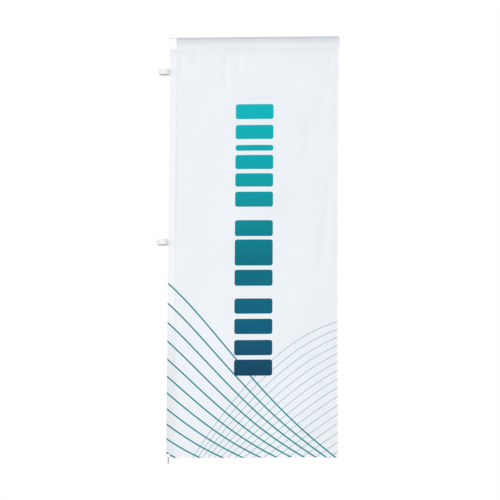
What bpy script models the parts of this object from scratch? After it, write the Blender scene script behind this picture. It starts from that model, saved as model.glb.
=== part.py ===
"""Portrait banner flag for a mast with a boom.

The cloth hangs from a tubular boom in its top sleeve. Two webbing loops, closed behind the header
with hook and loop patches, hold its mast side to the mast. A carabiner in the lower eyelet takes
the downhaul weight.

Frame: origin at the centre of the boom's mast end, +X along the boom, +Z up, -Y the printed front.
Metres.
"""

import math

import bmesh
import bpy
from mathutils import Matrix, Vector

MM = 0.001

# Flag, as it is finished
FLAG_WIDTH = 1000 * MM
FLAG_DROP = 2500 * MM
SLEEVE_FLAT = 70 * MM
CLOTH_THICK = 1.0 * MM
SEAM_THICK = 2.4 * MM
MOUTH_INSET = 3 * MM

# Boom
BOOM_DIAMETER = 28 * MM
BOOM_WALL = 1.5 * MM
TIP_SETBACK = 25 * MM
TIP_CAP_FLANGE = 3 * MM
TIP_CAP_DOME = 7 * MM
TIP_CAP_SPIGOT = 25 * MM
LOCK_HOLE_DIAMETER = 6.4 * MM
LOCK_HOLE_SETBACK = 22 * MM

# Header along the mast side
TAPE_WIDTH = 40 * MM
TAPE_THICK = 1.2 * MM
END_PATCH_THICK = 1.2 * MM

# Mast loops: each is one strap, whose end closes on its own root behind the header
MAST_DIAMETER = 60 * MM
LOOP_SLACK = 0.5 * MM
WEBBING_WIDTH = 32 * MM
WEBBING_THICK = 1.6 * MM
STRAP_ROOT_LENGTH = 36 * MM
FOLD_RADIUS = 1.2 * MM
STRAP_END_BEND_RADIUS = 5 * MM
PATCH_THICK = 1.2 * MM
PATCH_LENGTH = 28 * MM
PATCH_WIDTH = 26 * MM
PATCH_INSET = 5 * MM
UPPER_LOOP_BELOW_TOP = 207 * MM
LOOP_PITCH = 1021 * MM

# Eyelet in the lower mast-side corner
EYELET_INSET = 12 * MM
EYELET_HOLE_DIAMETER = 10 * MM
EYELET_BARREL_WALL = 0.6 * MM
EYELET_FLANGE_DIAMETER = 19 * MM
EYELET_FLANGE_THICK = 0.8 * MM
EYELET_LIP_WIDTH = 1.8 * MM
WASHER_THICK = 0.7 * MM

# Carabiner, 50 x 5 mm
CARABINER_LENGTH = 50 * MM
CARABINER_WIDTH = 25 * MM
WIRE_DIAMETER = 5 * MM
CROWN_RADIUS = 8 * MM
HINGE_DROP = 3 * MM
NOSE_DROP = 23 * MM
TONGUE_LENGTH = 3 * MM
TANG_THICK = 2 * MM
TANG_RADIUS = 2.2 * MM
GATE_END_ALLOWANCE = 0.05 * MM
PIN_DIAMETER = 1.6 * MM
PIN_LENGTH = 4.4 * MM
GATE_BORE_DIAMETER = 3.2 * MM
GATE_BORE_DEPTH = 11 * MM
PLUNGER_DIAMETER = 2.4 * MM
PLUNGER_LENGTH = 4.5 * MM
SPRING_WIRE_DIAMETER = 0.5 * MM
SPRING_TURNS = 7
NOSE_WALL = 1.2 * MM

# Clearances
GAP = 0.3 * MM
STRAP_SPLIT_GAP = 0.4 * MM
PIN_CLEARANCE = 0.2 * MM
CUT_OVERRUN = 2 * MM

# Facets
ROUND_STEPS = 48
SMALL_STEPS = 24
ARC_STEP = math.radians(7.5)

# Places that follow from the sizes
boom_radius = BOOM_DIAMETER / 2
sleeve_inner_radius = boom_radius + GAP
sleeve_outer_radius = sleeve_inner_radius + CLOTH_THICK
flag_top = sleeve_outer_radius
flag_bottom = flag_top - FLAG_DROP
seam_z = flag_top - SLEEVE_FLAT
mast_edge = MOUTH_INSET
fly_edge = mast_edge + FLAG_WIDTH
panel_back = CLOTH_THICK / 2
tape_front = panel_back + GAP
tape_back = tape_front + TAPE_THICK
loop_inner_radius = MAST_DIAMETER / 2 + LOOP_SLACK
loop_mid_radius = loop_inner_radius + WEBBING_THICK / 2
loop_outer_radius = loop_inner_radius + WEBBING_THICK
loop_centre_x = mast_edge - FOLD_RADIUS - loop_mid_radius
root_y = tape_back + FOLD_RADIUS
loop_patch_front = root_y + WEBBING_THICK / 2 + GAP
hook_patch_front = loop_patch_front + PATCH_THICK + GAP
strap_end_y = hook_patch_front + PATCH_THICK + GAP + WEBBING_THICK / 2
upper_loop_z = flag_top - UPPER_LOOP_BELOW_TOP
loop_heights = {"upper": upper_loop_z, "lower": upper_loop_z - LOOP_PITCH}


def new_material(name, colour, roughness, metallic=0.0):
    material = bpy.data.materials.new(name)
    material.use_nodes = True
    shader = material.node_tree.nodes["Principled BSDF"]
    shader.inputs["Base Color"].default_value = (*colour, 1)
    shader.inputs["Roughness"].default_value = roughness
    shader.inputs["Metallic"].default_value = metallic
    material.diffuse_color = (*colour, 1)
    return material


def add_object(name, data, material, collection):
    """Links an object that uses this data and material."""
    made = bpy.data.objects.new(name, data)
    if material is not None:
        data.materials.append(material)
    collection.objects.link(made)
    return made


def mesh_object(name, bm, material, collection):
    mesh = bpy.data.meshes.new(name)
    bm.to_mesh(mesh)
    bm.free()
    return add_object(name, mesh, material, collection)


def box(name, low, high, material, collection):
    """A block between two corners."""
    low, high = Vector(low), Vector(high)
    bm = bmesh.new()
    place = Matrix.Translation((low + high) / 2) @ Matrix.Diagonal((*(high - low), 1))
    bmesh.ops.create_cube(bm, size=1, matrix=place)
    return mesh_object(name, bm, material, collection)


def cylinder(name, start, end, radius, material, collection, steps=SMALL_STEPS):
    """A solid cylinder between two points."""
    start, end = Vector(start), Vector(end)
    turn = (end - start).to_track_quat("Z", "Y").to_matrix().to_4x4()
    bm = bmesh.new()
    bmesh.ops.create_cone(
        bm,
        cap_ends=True,
        segments=steps,
        radius1=radius,
        radius2=radius,
        depth=(end - start).length,
        matrix=Matrix.Translation((start + end) / 2) @ turn,
    )
    return mesh_object(name, bm, material, collection)


def turned(name, profile, is_ring, place, material, collection, steps=ROUND_STEPS):
    """A body turned about local Z. The profile holds (radius, height), down the outer side first."""
    bm = bmesh.new()
    points = [bm.verts.new((radius, 0, height)) for radius, height in profile]
    for start, end in zip(points, points[1:]):
        bm.edges.new((start, end))
    if is_ring:
        bm.edges.new((points[-1], points[0]))
    made = mesh_object(name, bm, material, collection)
    made.matrix_world = place
    screw = made.modifiers.new("turn", "SCREW")
    screw.steps = steps
    screw.render_steps = steps
    screw.use_merge_vertices = True
    screw.merge_threshold = 0.00001
    return made


def prism(name, outlines, length, place, material, collection):
    """A flat outline in local XY, with any holes, made solid for that length about local z = 0."""
    curve = bpy.data.curves.new(name, "CURVE")
    curve.dimensions = "2D"
    curve.fill_mode = "BOTH"
    curve.extrude = length / 2
    for outline in outlines:
        spline = curve.splines.new("POLY")
        spline.points.add(len(outline) - 1)
        for point, (x, y) in zip(spline.points, outline):
            point.co = (x, y, 0, 1)
        spline.use_cyclic_u = True
    made = add_object(name, curve, material, collection)
    made.matrix_world = place
    return made


def wire(name, points, radius, material, collection, resolution=4):
    """A round wire through these points, with filled ends."""
    curve = bpy.data.curves.new(name, "CURVE")
    curve.dimensions = "3D"
    curve.bevel_depth = radius
    curve.bevel_resolution = resolution
    curve.use_fill_caps = True
    spline = curve.splines.new("POLY")
    spline.points.add(len(points) - 1)
    for point, place in zip(spline.points, points):
        point.co = (*place, 1)
    return add_object(name, curve, material, collection)


def as_mesh(curve_object):
    """Turns a curve object into a welded mesh object of the same name."""
    bpy.context.view_layer.update()
    evaluated = curve_object.evaluated_get(bpy.context.evaluated_depsgraph_get())
    mesh = bpy.data.meshes.new_from_object(evaluated)
    bm = bmesh.new()
    bm.from_mesh(mesh)
    bmesh.ops.remove_doubles(bm, verts=bm.verts, dist=0.00001)
    bmesh.ops.recalc_face_normals(bm, faces=bm.faces)
    bm.to_mesh(mesh)
    bm.free()
    name, place = curve_object.name, curve_object.matrix_world.copy()
    collection = curve_object.users_collection[0]
    bpy.data.objects.remove(curve_object)
    made = add_object(name, mesh, None, collection)
    made.matrix_world = place
    return made


def combine(target, other, operation):
    """Adds a Boolean with a helper object, which is then left out of the model."""
    boolean = target.modifiers.new(other.name, "BOOLEAN")
    boolean.operation = operation
    boolean.object = other
    other.hide_render = True
    other.display_type = "WIRE"


def arc(centre, radius, start, end):
    """Points on an arc in a plane, from one angle to another, both ends included."""
    steps = max(1, round(abs(end - start) / ARC_STEP))
    angles = [start + (end - start) * step / steps for step in range(steps + 1)]
    return [
        (centre[0] + radius * math.cos(a), centre[1] + radius * math.sin(a)) for a in angles
    ]


def teardrop(radius, tip_z, half_tip):
    """The outline of cloth hung over the boom: an arc over the top, and straight sides to the seam."""
    reach = math.hypot(half_tip, tip_z)
    leaning = math.asin((radius - half_tip * abs(tip_z) / reach) / reach) if reach > radius else 0
    side = -leaning
    right = arc((0, 0), radius, side, math.pi / 2)
    left = [(-y, z) for y, z in reversed(right[:-1])]
    return [(half_tip, tip_z), *right, *left, (-half_tip, tip_z)]


def across_boom(x):
    """Turns local XY into world YZ, with local +Z along the boom, at that x."""
    turn = Matrix(((0, 0, 1, 0), (1, 0, 0, 0), (0, 1, 0, 0), (0, 0, 0, 1)))
    return Matrix.Translation((x, 0, 0)) @ turn


def along_boom(x):
    """Turns local +Z along the boom, at that x, for turned pieces."""
    return Matrix.Translation((x, 0, 0)) @ Matrix.Rotation(math.pi / 2, 4, "Y")


def ribbon(name, path, middle_z, height, thickness, material, collection):
    """A strap of constant thickness that stands on edge and follows a path in the XY plane."""
    bm = bmesh.new()
    low = [bm.verts.new((x, y, middle_z - height / 2)) for x, y in path]
    edges = [bm.edges.new(pair) for pair in zip(low, low[1:])]
    raised = bmesh.ops.extrude_edge_only(bm, edges=edges)["geom"]
    top = [item for item in raised if isinstance(item, bmesh.types.BMVert)]
    bmesh.ops.translate(bm, verts=top, vec=(0, 0, height))
    made = mesh_object(name, bm, material, collection)
    shell = made.modifiers.new("thickness", "SOLIDIFY")
    shell.thickness = thickness
    shell.offset = 0
    shell.use_even_offset = True
    return made


def build_boom(aluminium, plastic, collection, cutters):
    length = fly_edge - TIP_SETBACK - TIP_CAP_DOME - TIP_CAP_FLANGE
    bore = boom_radius - BOOM_WALL
    profile = [(boom_radius, length), (boom_radius, 0), (bore, 0), (bore, length)]
    tube = turned("boom_tube", profile, True, along_boom(0), aluminium, collection)
    hole_end = boom_radius + CUT_OVERRUN
    hole = cylinder(
        "lock_hole",
        (LOCK_HOLE_SETBACK, 0, -hole_end),
        (LOCK_HOLE_SETBACK, 0, hole_end),
        LOCK_HOLE_DIAMETER / 2,
        None,
        cutters,
    )
    combine(tube, hole, "DIFFERENCE")

    spigot = bore - GAP
    dome = [
        (boom_radius * math.cos(a), TIP_CAP_FLANGE + TIP_CAP_DOME * math.sin(a))
        for a in [math.pi / 2 * (1 - step / 6) for step in range(7)]
    ]
    dome[0] = (0, dome[0][1])
    profile = [
        *dome,
        (boom_radius, 0),
        (spigot, 0),
        (spigot, -TIP_CAP_SPIGOT),
        (0, -TIP_CAP_SPIGOT),
    ]
    turned("boom_tip_cap", profile, False, along_boom(length + GAP), plastic, collection)


def build_sleeve(cloth, tape, collection):
    inner_tip = seam_z + SEAM_THICK
    half_seam = SEAM_THICK / 2
    outlines = [
        teardrop(sleeve_outer_radius, seam_z, half_seam),
        teardrop(sleeve_inner_radius, inner_tip, GAP / 2),
    ]
    middle = across_boom((mast_edge + fly_edge) / 2)
    prism("top_sleeve", outlines, FLAG_WIDTH, middle, cloth, collection)

    binding_inner = sleeve_outer_radius + GAP
    binding_outer = binding_inner + TAPE_THICK
    outlines = [
        teardrop(binding_outer, seam_z, half_seam + GAP + TAPE_THICK),
        teardrop(binding_inner, seam_z - GAP, half_seam + GAP),
    ]
    # Open below, where the two legs of the binding are sewn on either side of the seam.
    outer, inner = outlines
    wall = [*outer, *reversed(inner)]
    place = across_boom(mast_edge + TAPE_WIDTH / 2)
    prism("sleeve_mouth_binding", [wall], TAPE_WIDTH, place, tape, collection)

    place = across_boom(fly_edge + GAP + END_PATCH_THICK / 2)
    outline = teardrop(sleeve_outer_radius, seam_z, half_seam)
    prism("sleeve_end_patch", [outline], END_PATCH_THICK, place, tape, collection)


def build_panel(cloth, tape, collection, cutters):
    """The printed panel and its header tape, both with a hole for the eyelet."""
    panel = box(
        "flag_panel",
        (mast_edge, -panel_back, flag_bottom),
        (fly_edge, panel_back, seam_z - GAP),
        cloth,
        collection,
    )
    header = box(
        "header_tape",
        (mast_edge, tape_front, flag_bottom),
        (mast_edge + TAPE_WIDTH, tape_back, seam_z - 2 * GAP),
        tape,
        collection,
    )
    barrel = EYELET_HOLE_DIAMETER / 2 + EYELET_BARREL_WALL
    eye_x, eye_z = mast_edge + EYELET_INSET, flag_bottom + EYELET_INSET
    hole = cylinder(
        "eyelet_cut",
        (eye_x, -CUT_OVERRUN, eye_z),
        (eye_x, tape_back + CUT_OVERRUN, eye_z),
        barrel + GAP,
        None,
        cutters,
        ROUND_STEPS,
    )
    combine(panel, hole, "DIFFERENCE")
    combine(header, hole, "DIFFERENCE")


def build_eyelet(brass, collection):
    """A flanged barrel set through cloth and tape, and the washer that it is rolled over."""
    hole = EYELET_HOLE_DIAMETER / 2
    barrel = hole + EYELET_BARREL_WALL
    flange = EYELET_FLANGE_DIAMETER / 2
    flange_back = -panel_back - GAP
    washer_front = tape_back + GAP
    lip_front = washer_front + WASHER_THICK + GAP
    lip_back = lip_front + EYELET_FLANGE_THICK
    eye = Vector((mast_edge + EYELET_INSET, 0, flag_bottom + EYELET_INSET))
    # Local +Z points to the back, so heights below are world y.
    place = Matrix.Translation(eye) @ Matrix.Rotation(-math.pi / 2, 4, "X")
    profile = [
        (hole + EYELET_LIP_WIDTH, lip_back),
        (hole + EYELET_LIP_WIDTH, lip_front),
        (barrel, lip_front),
        (barrel, flange_back),
        (flange, flange_back),
        (flange, flange_back - EYELET_FLANGE_THICK),
        (hole, flange_back - EYELET_FLANGE_THICK),
        (hole, lip_back),
    ]
    turned("eyelet", profile, True, place, brass, collection)
    profile = [
        (flange, washer_front + WASHER_THICK),
        (flange, washer_front),
        (barrel + GAP, washer_front),
        (barrel + GAP, washer_front + WASHER_THICK),
    ]
    turned("eyelet_washer", profile, True, place, brass, collection)
    return flange_back - EYELET_FLANGE_THICK, lip_back


def fixed_strap_path():
    """From the sewn root, round the header's edge and the front of the mast, to the far side."""
    root = [(mast_edge + STRAP_ROOT_LENGTH, root_y)]
    fold = arc((mast_edge, tape_back), FOLD_RADIUS, math.pi / 2, math.pi)
    front = arc((loop_centre_x, 0), loop_mid_radius, 0, -math.pi)
    stop = STRAP_SPLIT_GAP / 2 / loop_mid_radius
    front[-1] = (
        loop_centre_x - loop_mid_radius * math.cos(stop),
        -loop_mid_radius * math.sin(stop),
    )
    return [*root, *fold, *front]


def free_strap_path():
    """From the far side, round the back of the mast, to the end that lies over the root."""
    bend_x = mast_edge + STRAP_END_BEND_RADIUS
    # The straight stretch leaves the loop at a tangent, and meets the bend at a tangent.
    dx = bend_x - loop_centre_x
    dy = strap_end_y + STRAP_END_BEND_RADIUS
    reach = math.hypot(dx, dy)
    leave = math.atan2(dy, dx) + math.acos((loop_mid_radius + STRAP_END_BEND_RADIUS) / reach)
    start = STRAP_SPLIT_GAP / 2 / loop_mid_radius
    back = arc((loop_centre_x, 0), loop_mid_radius, math.pi - start, leave)
    bend_centre = (bend_x, strap_end_y + STRAP_END_BEND_RADIUS)
    bend = arc(bend_centre, STRAP_END_BEND_RADIUS, leave + math.pi, 1.5 * math.pi)
    end = [(mast_edge + STRAP_ROOT_LENGTH, strap_end_y)]
    return [*back, *bend, *end]


def build_mast_loop(which, webbing, hooks, loops, collection):
    z = loop_heights[which]
    width, thick = WEBBING_WIDTH, WEBBING_THICK
    ribbon(f"{which}_strap_fixed", fixed_strap_path(), z, width, thick, webbing, collection)
    ribbon(f"{which}_strap_free", free_strap_path(), z, width, thick, webbing, collection)
    patch_end = mast_edge + STRAP_ROOT_LENGTH - GAP
    patch_start = patch_end - PATCH_LENGTH
    for patch, front, material in (
        ("loop", loop_patch_front, loops),
        ("hook", hook_patch_front, hooks),
    ):
        box(
            f"{which}_{patch}_patch",
            (patch_start, front, z - PATCH_WIDTH / 2),
            (patch_end, front + PATCH_THICK, z + PATCH_WIDTH / 2),
            material,
            collection,
        )


class CarabinerLayout:
    """Where the carabiner's pieces lie. Its plane is YZ, and its crown hangs on the eyelet."""

    def __init__(self, stack_front, stack_back):
        self.radius = WIRE_DIAMETER / 2
        self.x = mast_edge + EYELET_INSET
        self.y = (stack_front + stack_back) / 2
        half_stack = (stack_back - stack_front) / 2
        crown_inner = CROWN_RADIUS - self.radius
        # The crown is round and the eyelet is square-edged, so the crown stands this much higher.
        rise = crown_inner - math.sqrt(crown_inner**2 - half_stack**2)
        hole_bottom = flag_bottom + EYELET_INSET - EYELET_HOLE_DIAMETER / 2
        self.swing_z = hole_bottom + rise + GAP + self.radius
        self.bow_radius = CARABINER_WIDTH / 2 - self.radius
        self.crown = Vector((0, -CROWN_RADIUS))
        self.bow = Vector((0, -(CARABINER_LENGTH - WIRE_DIAMETER - self.bow_radius)))
        centres = (self.bow - self.crown).length
        self.lean = math.asin((self.bow_radius - CROWN_RADIUS) / centres)
        outward = Vector((-math.cos(self.lean), math.sin(self.lean)))
        self.gate_top = self.crown + CROWN_RADIUS * outward
        gate_bottom = self.bow + self.bow_radius * outward
        self.along = (gate_bottom - self.gate_top).normalized()
        self.outward = outward

    def gate_point(self, distance, out=0.0):
        """A point on the gate's line, that far below its top end, in the carabiner's plane."""
        return self.gate_top + distance * self.along + out * self.outward

    def world(self, point, x=0.0):
        return Vector((self.x + x, self.y + point[0], self.swing_z + point[1]))

    def gate_frame(self, distance):
        """Local X across the plane, local Y outward, local -Z down the gate."""
        outward = Vector((0, *self.outward))
        down = Vector((0, *self.along))
        turn = Matrix((Vector((1, 0, 0)), outward, -down)).transposed().to_4x4()
        return Matrix.Translation(self.world(self.gate_point(distance))) @ turn


def framed_box(name, frame, low, high, cutters):
    cut = box(name, low, high, None, cutters)
    cut.matrix_world = frame
    return cut


def capsule(start, end, radius):
    """The outline of a slot shape that runs up and down, centred on local y = 0."""
    top = arc((0, start), radius, 0, math.pi)
    bottom = arc((0, end), radius, math.pi, 2 * math.pi)
    return [*top, *bottom]


def flat_capsule(name, frame, start, end, radius, thickness, cutters):
    """A plate in the carabiner's plane with round ends, at distances below the frame's origin."""
    upright = Matrix(((0, 0, 1, 0), (1, 0, 0, 0), (0, 1, 0, 0), (0, 0, 0, 1)))
    plate = prism(
        name,
        [capsule(-start, -end, radius)],
        thickness,
        frame @ upright,
        None,
        cutters,
    )
    return as_mesh(plate)


def build_carabiner(layout, steel, spring_steel, collection, cutters):
    radius = layout.radius
    gate_end_radius = radius + GATE_END_ALLOWANCE
    shoulder = HINGE_DROP - gate_end_radius - GAP
    hinge = layout.gate_frame(HINGE_DROP)
    far = CARABINER_WIDTH

    crown = arc(layout.crown, CROWN_RADIUS, math.pi - layout.lean, layout.lean)
    bow = arc(layout.bow, layout.bow_radius, layout.lean, -math.pi - layout.lean)
    flat_path = [layout.gate_point(shoulder), *crown, *bow, layout.gate_point(NOSE_DROP)]
    path = [layout.world(point) for point in flat_path]
    body = as_mesh(wire("carabiner_body", path, radius, steel, collection))
    body.data.materials.append(steel)
    tang = flat_capsule(
        "tang", hinge, -2 * radius, 0, TANG_RADIUS, TANG_THICK, cutters
    )
    combine(body, tang, "UNION")
    slot = framed_box(
        "nose_slot",
        layout.gate_frame(NOSE_DROP),
        (-TANG_THICK / 2 - GAP, -far, -TONGUE_LENGTH - GAP),
        (TANG_THICK / 2 + GAP, radius - NOSE_WALL, CUT_OVERRUN),
        cutters,
    )
    combine(body, slot, "DIFFERENCE")
    pin_start, pin_end = (
        hinge @ Vector((side * far, 0, 0)) for side in (-1, 1)
    )
    pin_hole = cylinder(
        "pin_hole", pin_start, pin_end, PIN_DIAMETER / 2 + PIN_CLEARANCE, None, cutters
    )
    combine(body, pin_hole, "DIFFERENCE")

    gate_end = NOSE_DROP - GAP
    gate = cylinder(
        "carabiner_gate",
        layout.world(layout.gate_point(HINGE_DROP - gate_end_radius - CUT_OVERRUN)),
        layout.world(layout.gate_point(gate_end)),
        radius,
        steel,
        collection,
    )
    rounding = flat_capsule(
        "gate_rounding", hinge, 0, gate_end + far, gate_end_radius, 2 * far, cutters
    )
    combine(gate, rounding, "INTERSECT")
    fork = framed_box(
        "fork_slot",
        hinge,
        (-TANG_THICK / 2 - GAP, -far, -TANG_RADIUS - GAP),
        (TANG_THICK / 2 + GAP, far, far),
        cutters,
    )
    combine(gate, fork, "DIFFERENCE")
    # The tongue stops short of the wall that closes the nose slot on the outside.
    tongue = framed_box(
        "tongue",
        layout.gate_frame(gate_end),
        (-TANG_THICK / 2, GAP - radius, -TONGUE_LENGTH),
        (TANG_THICK / 2, radius - NOSE_WALL - GAP, CUT_OVERRUN),
        cutters,
    )
    combine(gate, tongue, "UNION")
    combine(gate, pin_hole, "DIFFERENCE")
    bore_start = HINGE_DROP + TANG_RADIUS
    bore_end = bore_start + GAP + GATE_BORE_DEPTH
    bore = cylinder(
        "gate_bore",
        layout.world(layout.gate_point(bore_start)),
        layout.world(layout.gate_point(bore_end)),
        GATE_BORE_DIAMETER / 2,
        None,
        cutters,
    )
    combine(gate, bore, "DIFFERENCE")

    half_pin = PIN_LENGTH / 2
    cylinder(
        "gate_pin",
        hinge @ Vector((-half_pin, 0, 0)),
        hinge @ Vector((half_pin, 0, 0)),
        PIN_DIAMETER / 2,
        steel,
        collection,
    )
    plunger_start = bore_start + GAP
    plunger_end = plunger_start + PLUNGER_LENGTH
    cylinder(
        "gate_plunger",
        layout.world(layout.gate_point(plunger_start)),
        layout.world(layout.gate_point(plunger_end)),
        PLUNGER_DIAMETER / 2,
        steel,
        collection,
    )
    build_gate_spring(layout, plunger_end, bore_end, spring_steel, collection)


def build_gate_spring(layout, start, end, material, collection):
    """The coil between the plunger and the bottom of the gate's bore."""
    coil_radius = GATE_BORE_DIAMETER / 2 - GAP - SPRING_WIRE_DIAMETER / 2
    margin = GAP + SPRING_WIRE_DIAMETER / 2
    frame = layout.gate_frame(start + margin)
    length = end - start - 2 * margin
    per_turn = 10
    steps = SPRING_TURNS * per_turn
    points = []
    for step in range(steps + 1):
        angle = 2 * math.pi * step / per_turn
        local = Vector(
            (coil_radius * math.cos(angle), coil_radius * math.sin(angle), -length * step / steps)
        )
        points.append(frame @ local)
    wire("gate_spring", points, SPRING_WIRE_DIAMETER / 2, material, collection, 1)


def main():
    for existing in list(bpy.data.objects):
        bpy.data.objects.remove(existing, do_unlink=True)
    scene = bpy.context.scene.collection
    collection = bpy.data.collections.new("banner_flag")
    cutters = bpy.data.collections.new("cutters")
    scene.children.link(collection)
    scene.children.link(cutters)

    cloth = new_material("white_knit", (0.83, 0.87, 0.90), 0.75)
    tape = new_material("header_webbing", (0.88, 0.88, 0.92), 0.8)
    webbing = new_material("strap_webbing", (0.86, 0.87, 0.86), 0.8)
    hooks = new_material("hook_tape", (0.80, 0.81, 0.82), 0.6)
    loops = new_material("loop_tape", (0.85, 0.86, 0.86), 0.95)
    aluminium = new_material("anodised_aluminium", (0.78, 0.79, 0.80), 0.35, 1.0)
    plastic = new_material("grey_plastic", (0.35, 0.36, 0.37), 0.5)
    brass = new_material("nickelled_brass", (0.74, 0.73, 0.70), 0.3, 1.0)
    steel = new_material("zinc_plated_steel", (0.55, 0.56, 0.58), 0.35, 1.0)
    spring_steel = new_material("spring_steel", (0.45, 0.45, 0.47), 0.3, 1.0)

    build_boom(aluminium, plastic, collection, cutters)
    build_sleeve(cloth, tape, collection)
    build_panel(cloth, tape, collection, cutters)
    for which in loop_heights:
        build_mast_loop(which, webbing, hooks, loops, collection)
    stack_front, stack_back = build_eyelet(brass, collection)
    layout = CarabinerLayout(stack_front, stack_back)
    build_carabiner(layout, steel, spring_steel, collection, cutters)

    bpy.context.view_layer.update()
    for made in collection.objects:
        if made.type == "MESH" and made.data.polygons:
            made.data.shade_smooth()
            made.data.set_sharp_from_angle(angle=math.radians(35))


main()
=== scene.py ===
"""The looks of a portrait banner flag that hangs from a boom.

The frame's pieces give the places and sizes of the parts, in metres. The cloth, its hems and its
tapes are laid from their flat sizes: u runs across the cloth from its mast side, and s runs up it
from its bottom edge, on over the boom and down the back of the sleeve.
"""

import math

import bmesh
import bpy
import numpy as np
from bpy.props import FloatProperty, FloatVectorProperty, IntProperty, PointerProperty
from mathutils import Matrix, Vector


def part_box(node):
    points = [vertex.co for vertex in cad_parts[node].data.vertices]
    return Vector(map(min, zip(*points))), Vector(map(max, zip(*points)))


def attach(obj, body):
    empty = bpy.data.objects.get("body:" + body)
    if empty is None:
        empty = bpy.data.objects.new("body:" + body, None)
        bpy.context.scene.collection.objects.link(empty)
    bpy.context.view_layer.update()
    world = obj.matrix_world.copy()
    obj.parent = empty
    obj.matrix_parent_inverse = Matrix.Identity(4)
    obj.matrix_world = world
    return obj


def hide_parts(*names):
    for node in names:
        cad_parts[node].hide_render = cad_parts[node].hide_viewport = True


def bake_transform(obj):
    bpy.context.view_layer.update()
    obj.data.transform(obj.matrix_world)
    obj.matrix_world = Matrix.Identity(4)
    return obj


bl_info = {
    "name": "Banner Flag",
    "version": (1, 0, 0),
    "blender": (4, 5, 0),
    "location": "View3D > Sidebar > Banner",
    "description": "Sews a portrait banner flag round its boom and dresses its fittings",
    "category": "Object",
}

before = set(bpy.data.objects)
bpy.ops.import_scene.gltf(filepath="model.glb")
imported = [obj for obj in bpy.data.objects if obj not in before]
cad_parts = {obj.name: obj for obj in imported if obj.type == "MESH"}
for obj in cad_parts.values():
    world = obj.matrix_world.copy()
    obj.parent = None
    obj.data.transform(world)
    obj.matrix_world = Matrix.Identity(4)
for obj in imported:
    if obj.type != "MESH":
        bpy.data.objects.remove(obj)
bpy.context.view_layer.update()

MM = 0.001

# A sewn piece's UV map holds its flat position as a share of this length
FLAT_SPAN = 3.0

# Vertices of a mesh that lie closer than this are one
WELD = 0.005 * MM

panel_low, panel_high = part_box("flag_panel")
sleeve_low, sleeve_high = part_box("top_sleeve")
tape_low, tape_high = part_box("header_tape")
eyelet_low, eyelet_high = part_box("eyelet")
washer_low, washer_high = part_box("eyelet_washer")

MAST_EDGE = panel_low.x
CLOTH_WIDTH = panel_high.x - panel_low.x
BOTTOM = panel_low.z
SEAM_HEIGHT = sleeve_low.z - panel_low.z
TAPE_WIDTH = tape_high.x - tape_low.x
EYE = (eyelet_low + eyelet_high) / 2
EYE_U = EYE.x - MAST_EDGE
EYE_S = EYE.z - BOTTOM

# Half the width of the hole that is cut in the cloth and the header tape for the eyelet
EYELET_HOLE = 6 * MM


# ---------------------------------------------------------------- settings


def length(name, description, default):
    return FloatProperty(name=name, description=description, default=default, unit="LENGTH")


def share(name, description, default):
    return FloatProperty(
        name=name, description=description, default=default, min=0, max=1, subtype="FACTOR"
    )


def colour(name, description, default):
    return FloatVectorProperty(
        name=name, description=description, default=default, subtype="COLOR", size=3, min=0, max=1
    )


def angle(name, description, degrees):
    return FloatProperty(
        name=name, description=description, default=math.radians(degrees), subtype="ANGLE"
    )


class BannerCloth(bpy.types.PropertyGroup):
    """Sizes and colours of the knitted cloth and its hems."""

    thickness: length("Thickness", "Thickness of the knitted cloth", 0.5 * MM)
    fold_depth: length("Fold depth", "How far the broad folds stand out", 11 * MM)
    crease_depth: length("Crease depth", "How deep the soft creases are", 6 * MM)
    pucker_depth: length("Pucker depth", "How far the sleeve's seam is gathered", 1.3 * MM)
    fly_hem: length("Fly hem", "Width of the hem along the free side", 15 * MM)
    bottom_hem: length("Bottom hem", "Width of the hem along the bottom", 12 * MM)
    column_pitch: length("Mesh pitch across", "Width of the cloth mesh's faces", 7 * MM)
    row_pitch: length("Mesh pitch along", "Height of the cloth mesh's faces", 11 * MM)
    base: colour("Cloth", "Colour of a single layer of cloth", (0.775, 0.803, 0.832))
    doubled: colour("Doubled cloth", "Colour where cloth is backed", (0.815, 0.826, 0.852))


class BannerPrint(bpy.types.PropertyGroup):
    """The generic print: a column of blocks, a fan of lines and a set of arcs."""

    line_ink: colour("Line ink", "Ink of the fan of lines", (0.008, 0.228, 0.250))
    arc_ink: colour("Arc ink", "Ink of the thin arcs", (0.33, 0.48, 0.52))
    line_width: length("Line width", "Width of the lines in the fan", 8.5 * MM)
    arc_width: length("Arc width", "Width of the thin arcs", 4.4 * MM)
    back_strength: share("Strike-through", "How much of the print shows behind", 0.82)


class BannerWebbing(bpy.types.PropertyGroup):
    """Sizes and colours of the header tape and of the mast loops."""

    header: colour("Header tape", "Colour of the header tape", (0.735, 0.745, 0.765))
    strap: colour("Strap", "Colour of the mast loops", (0.86, 0.87, 0.87))
    thickness: length("Strap thickness", "Thickness of the loops' webbing", 1.6 * MM)
    fold_radius: length("Fold radius", "Radius of the fold round the header", 1.2 * MM)
    bend_radius: length("Bend radius", "Radius where a loop's end lies flat", 5 * MM)
    rib_pitch: length("Rib pitch", "Distance between the webbing's ribs", 2 * MM)


class BannerThread(bpy.types.PropertyGroup):
    """The sewing thread and its stitches."""

    pitch: length("Stitch pitch", "Distance from one stitch to the next", 5 * MM)
    stitch: length("Stitch length", "Length of one stitch", 3.6 * MM)
    radius: length("Thread radius", "Half the thread's thickness", 0.28 * MM)
    ink: colour("Thread", "Colour of the thread", (0.70, 0.74, 0.78))


class BannerFittings(bpy.types.PropertyGroup):
    """The metal and plastic fittings."""

    steps: IntProperty(name="Steps", description="Faces round a turned fitting", default=72)
    roll: length("Rolled edge", "Radius of the eyelet's rolled edges", 0.38 * MM)


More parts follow.
